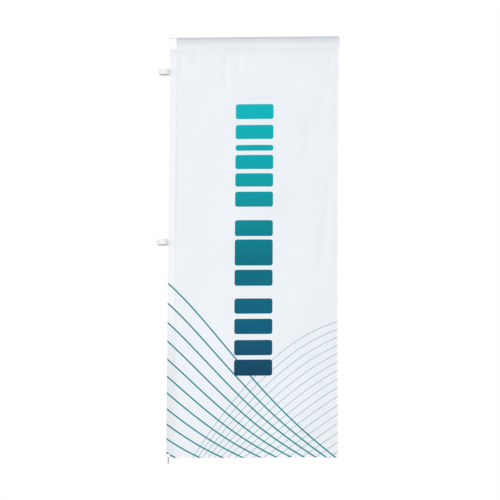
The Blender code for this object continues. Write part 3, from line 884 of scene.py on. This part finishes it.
class BANNER_OT_header(bpy.types.Operator):
    """Lays the header tape behind the mast side, binds the sleeve's mouth and closes its end."""

    bl_idname = "banner.header"
    bl_label = "Sew Header"

    def execute(self, context):
        cloth = context.scene.banner_cloth
        thick = tape_high.y - tape_low.y
        tape_middle = -(tape_low.y + tape_high.y) / 2
        across = spaced(0, TAPE_WIDTH, 4 * MM)
        tape = sheet_mesh(
            "header_webbing",
            across,
            spaced(0, SEAM_HEIGHT - MM, 10 * MM),
            lambda u, s: hang(u, s, tape_middle),
            eyelet=True,
        )
        thicken(tape, thick, header_webbing(), bevel=0.3 * MM)
        dress(tape, "flag", "header_webbing")
        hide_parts("header_tape")

        proud = cloth.thickness + thick / 2
        binding = sheet_mesh(
            "mouth_binding",
            across,
            SEAM_HEIGHT + spaced(MM, sleeve_length() - MM, 3 * MM),
            lambda u, s: hang(u, s, proud),
        )
        thicken(binding, 0.8 * thick, header_webbing(), bevel=0.3 * MM)
        dress(binding, "flag", "header_webbing")
        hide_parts("sleeve_mouth_binding")
        self.end_patch()
        return {"FINISHED"}

    def end_patch(self):
        """A patch domed over the sleeve's far end, with its edge turned in."""
        low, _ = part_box("sleeve_end_patch")
        y, z, _, _, along = sleeve_path()
        even = np.linspace(0, along[-1], 65)[:-1]
        outline = np.stack([np.interp(even, along, y), np.interp(even, along, z)], axis=1)
        middle = Vector((0, 0, outline[:, 1].mean()))
        bm = bmesh.new()
        rim = [bm.verts.new((low.x, py, pz)) for py, pz in outline]
        ring = [bm.edges.new(pair) for pair in zip(rim, [*rim[1:], rim[0]])]
        for inward, lift in ((0.82, 1.6), (0.6, 2.4), (0.35, 2.8), (0.15, 3.0)):
            raised = bmesh.ops.extrude_edge_only(bm, edges=ring)["geom"]
            verts = [item for item in raised if isinstance(item, bmesh.types.BMVert)]
            ring = [
                item
                for item in raised
                if isinstance(item, bmesh.types.BMEdge) and all(v in verts for v in item.verts)
            ]
            for vert, (py, pz) in zip(verts, outline):
                vert.co = (low.x + lift * MM, py * inward, middle.z + (pz - middle.z) * inward)
        bmesh.ops.holes_fill(bm, edges=ring)
        bmesh.ops.recalc_face_normals(bm, faces=bm.faces)
        for face in bm.faces:
            face.smooth = True

        # It lies flat on Y and Z, moved so that its UV map stays above 0
        layer = bm.loops.layers.uv.new("flat")
        for face in bm.faces:
            for loop in face.loops:
                co = loop.vert.co
                loop[layer].uv = ((co.y + 0.1) / FLAT_SPAN, (co.z + 0.2) / FLAT_SPAN)
        piece = new_piece("end_patch", bm)
        thicken(piece, 0.8 * MM, plain_knit())
        dress(piece, "flag", "header_webbing")
        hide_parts("sleeve_end_patch")


def strap_sizes(which):
    """The centre, radius, heights and ends of one mast loop, from the frame."""
    low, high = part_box(f"{which}_strap_fixed")
    _, free_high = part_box(f"{which}_strap_free")
    webbing = bpy.context.scene.banner_webbing
    outer = -low.y
    return {
        "centre": low.x + outer,
        "radius": outer - webbing.thickness / 2,
        "middle": (low.z + high.z) / 2,
        "half": (high.z - low.z) / 2,
        "root_end": high.x,
        "root_y": high.y - webbing.thickness / 2,
        "end_x": free_high.x,
        "split": low.x,
    }


def arc(centre, radius, start, end):
    """Points on an arc, about one every four degrees."""
    steps = max(2, round(abs(end - start) / math.radians(4)))
    return [
        (centre[0] + radius * math.cos(a), centre[1] + radius * math.sin(a))
        for a in np.linspace(start, end, steps + 1)
    ]


def fixed_path(sizes):
    """From the sewn root behind the header, round its edge and over half the mast, as x and y."""
    webbing = bpy.context.scene.banner_webbing
    root = [(x, sizes["root_y"]) for x in spaced(sizes["root_end"], MAST_EDGE + MM, 4 * MM)]
    fold = arc(
        (MAST_EDGE, sizes["root_y"] - webbing.fold_radius),
        webbing.fold_radius,
        math.pi / 2,
        math.pi,
    )
    return [*root, *fold, *arc((sizes["centre"], 0), sizes["radius"], 0, -math.pi)[1:]]


def free_path(sizes, end_y):
    """Round the other half of the mast and on to lie flat over the closure, as x and y."""
    radius = bpy.context.scene.banner_webbing.bend_radius
    bend = (MAST_EDGE + radius, end_y + radius)
    dx, dy = bend[0] - sizes["centre"], bend[1]
    leave = math.atan2(dy, dx) + math.acos((sizes["radius"] + radius) / math.hypot(dx, dy))
    round_mast = arc((sizes["centre"], 0), sizes["radius"], math.pi, leave)
    turn = arc(bend, radius, leave + math.pi, 1.5 * math.pi)
    start, end = Vector(round_mast[-1]), Vector(turn[0])
    reach = [tuple(start.lerp(end, t)) for t in (0.2, 0.4, 0.6, 0.8)]
    lying = [(x, end_y) for x in spaced(bend[0] + MM, sizes["end_x"], 4 * MM)]
    return [*round_mast, *reach, *turn, *lying]


def strap_mesh(name, path, sizes, material):
    """A strap on edge along a path, thick as its webbing and with its edges rounded."""
    points = np.array(path)
    along = np.concatenate([[0], np.cumsum(np.linalg.norm(np.diff(points, axis=0), axis=1))])

    def place(u, s):
        x, y = np.interp(s, along, points[:, 0]), np.interp(s, along, points[:, 1])
        return np.stack([x, y, sizes["middle"] + u - sizes["half"]], axis=-1)

    piece = sheet_mesh(name, spaced(0, 2 * sizes["half"], 4 * MM), along, place)
    thicken(piece, bpy.context.scene.banner_webbing.thickness, material, bevel=0.35 * MM)
    return piece


class BANNER_OT_mast_loops(bpy.types.Operator):
    """Makes the webbing loops that hold the flag's side to its mast, and their closures."""

    bl_idname = "banner.mast_loops"
    bl_label = "Sew Mast Loops"

    def execute(self, context):
        webbing = context.scene.banner_webbing
        strap = woven_webbing("strap_webbing", webbing.strap, webbing.rib_pitch)
        hooks, loops = hook_tape(), loop_tape()
        for which in ("upper", "lower"):
            sizes = strap_sizes(which)
            fixed = strap_mesh(f"{which}_loop_front", fixed_path(sizes), sizes, strap)
            dress(fixed, "flag", "strap_webbing")
            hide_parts(f"{which}_strap_fixed")

            _, patch_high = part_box(f"{which}_hook_patch")
            end_y = patch_high.y + 0.3 * MM + webbing.thickness / 2
            free = strap_mesh(f"{which}_loop_back", free_path(sizes, end_y), sizes, strap)
            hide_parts(f"{which}_strap_free")
            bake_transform(free)
            for node, material in ((f"{which}_hook_patch", hooks), (f"{which}_loop_patch", loops)):
                self.patch(node, f"{which}_strap_end" if "hook" in node else "flag", material)
        return {"FINISHED"}

    def patch(self, node, body, material):
        """A closure patch with softened edges."""
        low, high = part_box(node)
        bm = bmesh.new()
        place = Matrix.Translation((low + high) / 2) @ Matrix.Diagonal((*(high - low), 1))
        bmesh.ops.create_cube(bm, size=1, matrix=place)
        upright = [e for e in bm.edges if abs((e.verts[0].co - e.verts[1].co).y) > 0.5 * MM]
        bmesh.ops.bevel(
            bm, geom=upright, offset=2.5 * MM, segments=4, profile=0.5, affect="EDGES", material=-1
        )
        rim = [e for e in bm.edges if abs((e.verts[0].co - e.verts[1].co).y) < 0.01 * MM]
        bmesh.ops.bevel(
            bm, geom=rim, offset=0.3 * MM, segments=2, profile=0.5, affect="EDGES", material=-1
        )
        piece = new_piece(node.replace("patch", "closure"), bm)
        dress(piece, body, "hook_tape" if "hook" in node else "loop_tape", material)
        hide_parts(node)


def spun(name, profile, centre, steps):
    """A ring turned about the eyelet's axis from a closed profile of radius and y."""
    bm = bmesh.new()
    points = [bm.verts.new((centre.x + radius, y, centre.z)) for radius, y in profile]
    edges = [bm.edges.new(pair) for pair in zip(points, [*points[1:], points[0]])]
    bmesh.ops.spin(
        bm,
        geom=[*points, *edges],
        cent=centre,
        axis=(0, 1, 0),
        angle=2 * math.pi,
        steps=steps,
        use_merge=True,
    )
    bmesh.ops.remove_doubles(bm, verts=bm.verts, dist=WELD)
    bmesh.ops.recalc_face_normals(bm, faces=bm.faces)
    for face in bm.faces:
        face.smooth = True
    return new_piece(name, bm)


class BANNER_OT_eyelet(bpy.types.Operator):
    """Sets the rolled eyelet and its washer in the lower corner."""

    bl_idname = "banner.eyelet"
    bl_label = "Set Eyelet"

    def execute(self, context):
        fittings = context.scene.banner_fittings
        nickel = drawn_metal("nickelled_brass", (0.74, 0.73, 0.70), 0.32, (1, 1, 1), 500.0)
        flange = (eyelet_high.x - eyelet_low.x) / 2
        front, back = eyelet_low.y, eyelet_high.y
        roll, mouth, tail = fittings.roll, 1.1 * MM, 0.85 * MM
        hole, lip, wall = 5.05 * MM, 6.75 * MM, 0.6 * MM
        cloth_front = -0.5 * context.scene.banner_cloth.thickness - 0.1 * MM
        profile = [
            (flange - roll, cloth_front),
            *self.curl(flange - roll, (front + cloth_front) / 2, roll, math.pi / 2, -math.pi / 2),
            *self.curl(hole + mouth, front + mouth, mouth, -math.pi / 2, -math.pi),
            *self.curl(hole + tail, back - tail, tail, math.pi, math.pi / 2),
            *self.curl(lip - roll, back - roll, roll, math.pi / 2, -math.pi / 2),
            (hole + wall, back - 2 * roll),
            (hole + wall, cloth_front),
        ]
        shell = spun("eyelet_shell", profile, EYE, fittings.steps)
        dress(shell, "flag", "nickelled_brass", nickel)
        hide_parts("eyelet")

        inner, outer = hole + 1.0 * MM, (washer_high.x - washer_low.x) / 2
        thick = washer_high.y - washer_low.y
        y = (washer_low.y + washer_high.y) / 2
        profile = [
            *self.curl(outer - thick / 2, y, thick / 2, -math.pi / 2, math.pi / 2),
            *self.curl(inner + thick / 2, y, thick / 2, math.pi / 2, 1.5 * math.pi),
        ]
        ring = spun("eyelet_ring", profile, EYE, fittings.steps)
        dress(ring, "flag", "nickelled_brass", nickel)
        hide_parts("eyelet_washer")
        return {"FINISHED"}

    def curl(self, radius, y, size, start, end):
        """A rounded edge of a profile, about that radius and y."""
        return [
            (radius + size * math.cos(a), y + size * math.sin(a))
            for a in np.linspace(start, end, 7)
        ]


class BANNER_OT_metalwork(bpy.types.Operator):
    """Finishes the boom and the carabiner."""

    bl_idname = "banner.metalwork"
    bl_label = "Finish Metalwork"

    def execute(self, context):
        tube = drawn_metal("anodised_aluminium", (0.78, 0.79, 0.80), 0.38, (0.02, 1, 1))
        zinc = drawn_metal("zinc_plated_steel", (0.42, 0.43, 0.45), 0.36, (1, 1, 0.15))
        spring = drawn_metal("spring_steel", (0.36, 0.36, 0.38), 0.3, (1, 1, 1))
        for node, name, body, slot, material in (
            ("boom_tube", "boom_shell", "boom", "anodised_aluminium", tube),
            ("boom_tip_cap", "boom_plug", "boom", "grey_plastic", moulded_plastic()),
            ("carabiner_body", "hook_body", "carabiner", "zinc_plated_steel", zinc),
            ("gate_pin", "hook_pin", "carabiner", "zinc_plated_steel", zinc),
            ("carabiner_gate", "hook_gate", "gate", "zinc_plated_steel", zinc),
            ("gate_plunger", "hook_plunger", "gate", "zinc_plated_steel", zinc),
            ("gate_spring", "hook_spring", "gate", "spring_steel", spring),
        ):
            smoothed_copy(node, name, body, slot, material)
        return {"FINISHED"}


class BANNER_OT_stitching(bpy.types.Operator):
    """Sews every seam with rows of single stitches."""

    bl_idname = "banner.stitching"
    bl_label = "Stitch Seams"

    def execute(self, context):
        cloth = context.scene.banner_cloth
        over = sleeve_length()
        front = 0.5 * cloth.thickness
        tape_back = -tape_high.y
        hem_back = -1.9 * cloth.thickness
        binding = cloth.thickness + 0.9 * (tape_high.y - tape_low.y)
        fly = CLOTH_WIDTH - cloth.fly_hem + 2 * MM
        foot = cloth.bottom_hem - 2 * MM
        seam = SEAM_HEIGHT
        low, high = EYE_S + 14 * MM, seam - 6 * MM
        rows = {
            "header_stitches": [
                ((inset, low if inset < EYE_U else 4 * MM), (inset, high), side)
                for inset in (2.5 * MM, TAPE_WIDTH - 2.5 * MM)
                for side in (front, tape_back)
            ],
            "hem_stitches": [
                *(((fly, 3 * MM), (fly, seam - 3 * MM), side) for side in (front, hem_back)),
                *(((TAPE_WIDTH, foot), (fly, foot), side) for side in (front, hem_back)),
            ],
            "sleeve_stitches": [
                *(
                    ((3 * MM, seam + rise), (CLOTH_WIDTH - 3 * MM, seam + rise), front)
                    for rise in (3 * MM, 7 * MM, over - 3 * MM, over - 7 * MM)
                ),
                *(
                    ((inset, seam + 5 * MM), (inset, seam + over - 5 * MM), binding)
                    for inset in (2.5 * MM, TAPE_WIDTH - 2.5 * MM)
                ),
            ],
        }
        thread = sewing_thread()
        for name, lines in rows.items():
            bm = bmesh.new()
            for start, end, proud in lines:
                self.row(bm, start, end, proud)
            if name == "header_stitches":
                for which in ("upper", "lower"):
                    self.crossed_box(bm, which, front)
            for face in bm.faces:
                face.smooth = True
            dress(new_piece(name, bm), "flag", "header_webbing", thread)
        return {"FINISHED"}

    def row(self, bm, start, end, proud):
        """One row of stitches along a straight line on the flat cloth."""
        thread = bpy.context.scene.banner_thread
        start, end = np.array(start), np.array(end)
        span = np.linalg.norm(end - start)
        count = max(1, int(span / thread.pitch))
        step = (end - start) / count
        part = thread.stitch / thread.pitch
        first = start + np.arange(count)[:, None] * step
        last = first + step * part
        raised = proud + math.copysign(0.35 * thread.radius, proud)
        heads = hang(first[:, 0], first[:, 1], raised)
        tails = hang(last[:, 0], last[:, 1], raised)
        for head, tail in zip(heads, tails):
            head, tail = Vector(head), Vector(tail)
            reach = tail - head
            turn = reach.to_track_quat("Z", "Y").to_matrix().to_4x4()
            size = Matrix.Diagonal((thread.radius, thread.radius, reach.length / 2, 1))
            place = Matrix.Translation((head + tail) / 2) @ turn @ size
            bmesh.ops.create_icosphere(bm, subdivisions=1, radius=1, matrix=place)

    def crossed_box(self, bm, which, proud):
        """A box and a cross through cloth, tape and strap, where a loop is sewn on."""
        sizes = strap_sizes(which)
        middle = sizes["middle"] - BOTTOM
        half = sizes["half"] - 3 * MM
        left, right = 6 * MM, sizes["root_end"] - MAST_EDGE - 3 * MM
        corners = [(left, middle - half), (right, middle - half), (right, middle + half),
                   (left, middle + half)]
        order = (0, 1, 2, 3, 0, 2)
        lines = [(corners[a], corners[b]) for a, b in zip(order, order[1:])]
        for start, end in [*lines, (corners[1], corners[3])]:
            self.row(bm, start, end, proud)


class BANNER_OT_stage(bpy.types.Operator):
    """Sets up the camera, the soft light and the floor."""

    bl_idname = "banner.stage"
    bl_label = "Set Stage"

    def execute(self, context):
        scene = context.scene
        stage = scene.banner_stage
        scene.view_settings.view_transform = "Standard"
        self.camera(scene, stage)
        self.light(scene, stage)
        bm = bmesh.new()
        place = Matrix.Translation((0, 0, stage.floor))
        bmesh.ops.create_grid(bm, x_segments=4, y_segments=4, size=stage.floor_size, matrix=place)
        floor = new_piece("floor", bm)
        finish = Finish("pale_floor", 0.9, base=(0.86, 0.86, 0.87))
        floor.data.materials.append(finish.material)
        return {"FINISHED"}

    def camera(self, scene, stage):
        data = bpy.data.cameras.new("camera")
        data.lens = stage.lens
        data.sensor_width = 36
        data.clip_end = 1000
        camera = bpy.data.objects.new("camera", data)
        scene.collection.objects.link(camera)
        level = math.cos(stage.elevation)
        ahead = Vector(
            (
                math.sin(stage.azimuth) * level,
                math.cos(stage.azimuth) * level,
                -math.sin(stage.elevation),
            )
        )
        turn = ahead.to_track_quat("-Z", "Y").to_matrix().to_4x4()
        place = Matrix.Translation(Vector(stage.aim) - ahead * stage.distance)
        camera.matrix_world = place @ turn @ Matrix.Rotation(stage.roll, 4, "Z")
        scene.camera = camera

    def light(self, scene, stage):
        world = bpy.data.worlds.new("soft_daylight")
        world.use_nodes = True
        tree = world.node_tree
        seen = tree.nodes["Background"]
        seen.inputs["Color"].default_value = (1, 1, 1, 1)
        seen.inputs["Strength"].default_value = 1.0
        lit = tree.nodes.new("ShaderNodeBackground")
        lit.inputs["Color"].default_value = (0.97, 0.985, 1.0, 1)
        lit.inputs["Strength"].default_value = stage.daylight
        rays = tree.nodes.new("ShaderNodeLightPath")
        choose = tree.nodes.new("ShaderNodeMixShader")
        tree.links.new(rays.outputs["Is Camera Ray"], choose.inputs[0])
        tree.links.new(lit.outputs[0], choose.inputs[1])
        tree.links.new(seen.outputs[0], choose.inputs[2])
        tree.links.new(choose.outputs[0], tree.nodes["World Output"].inputs["Surface"])
        scene.world = world
        for name, place, size, power in (
            ("front_softbox", (0.3, -14.0, -0.8), 8.0, 1000),
            ("left_softbox", (-10.0, -6.0, -0.4), 4.0, 230),
            ("back_softbox", (4.0, 9.0, 1.0), 5.0, 300),
        ):
            data = bpy.data.lights.new(name, "AREA")
            data.shape = "DISK"
            data.size = size
            data.energy = power
            lamp = bpy.data.objects.new(name, data)
            lamp.location = place
            aim = Vector(stage.aim) - lamp.location
            lamp.rotation_euler = aim.to_track_quat("-Z", "Y").to_euler()
            scene.collection.objects.link(lamp)


class BANNER_PT_panel(bpy.types.Panel):
    """Lists the flag's settings and the steps that make it."""

    bl_idname = "BANNER_PT_panel"
    bl_label = "Banner Flag"
    bl_space_type = "VIEW_3D"
    bl_region_type = "UI"
    bl_category = "Banner"

    def draw(self, context):
        layout = self.layout
        for name, _ in SETTINGS:
            box = layout.box()
            box.label(text=name.replace("banner_", "").capitalize())
            settings = getattr(context.scene, name)
            for key in settings.__annotations__:
                box.prop(settings, key)
        for operator in OPERATORS:
            layout.operator(operator.bl_idname)


SETTINGS = (
    ("banner_cloth", BannerCloth),
    ("banner_print", BannerPrint),
    ("banner_webbing", BannerWebbing),
    ("banner_thread", BannerThread),
    ("banner_fittings", BannerFittings),
    ("banner_stage", BannerStage),
)
OPERATORS = (
    BANNER_OT_cloth,
    BANNER_OT_hems,
    BANNER_OT_header,
    BANNER_OT_mast_loops,
    BANNER_OT_eyelet,
    BANNER_OT_metalwork,
    BANNER_OT_stitching,
    BANNER_OT_stage,
)


def register():
    for name, group in SETTINGS:
        bpy.utils.register_class(group)
        setattr(bpy.types.Scene, name, PointerProperty(type=group))
    for operator in OPERATORS:
        bpy.utils.register_class(operator)
    bpy.utils.register_class(BANNER_PT_panel)


def unregister():
    bpy.utils.unregister_class(BANNER_PT_panel)
    for operator in reversed(OPERATORS):
        bpy.utils.unregister_class(operator)
    for name, group in reversed(SETTINGS):
        delattr(bpy.types.Scene, name)
        bpy.utils.unregister_class(group)


def main():
    register()
    bpy.ops.banner.cloth()
    bpy.ops.banner.hems()
    bpy.ops.banner.header()
    bpy.ops.banner.mast_loops()
    bpy.ops.banner.eyelet()
    bpy.ops.banner.metalwork()
    bpy.ops.banner.stitching()
    bpy.ops.banner.stage()
    SEAM_HEIGHT + sleeve_length()


if __name__ == "__main__":
    main()
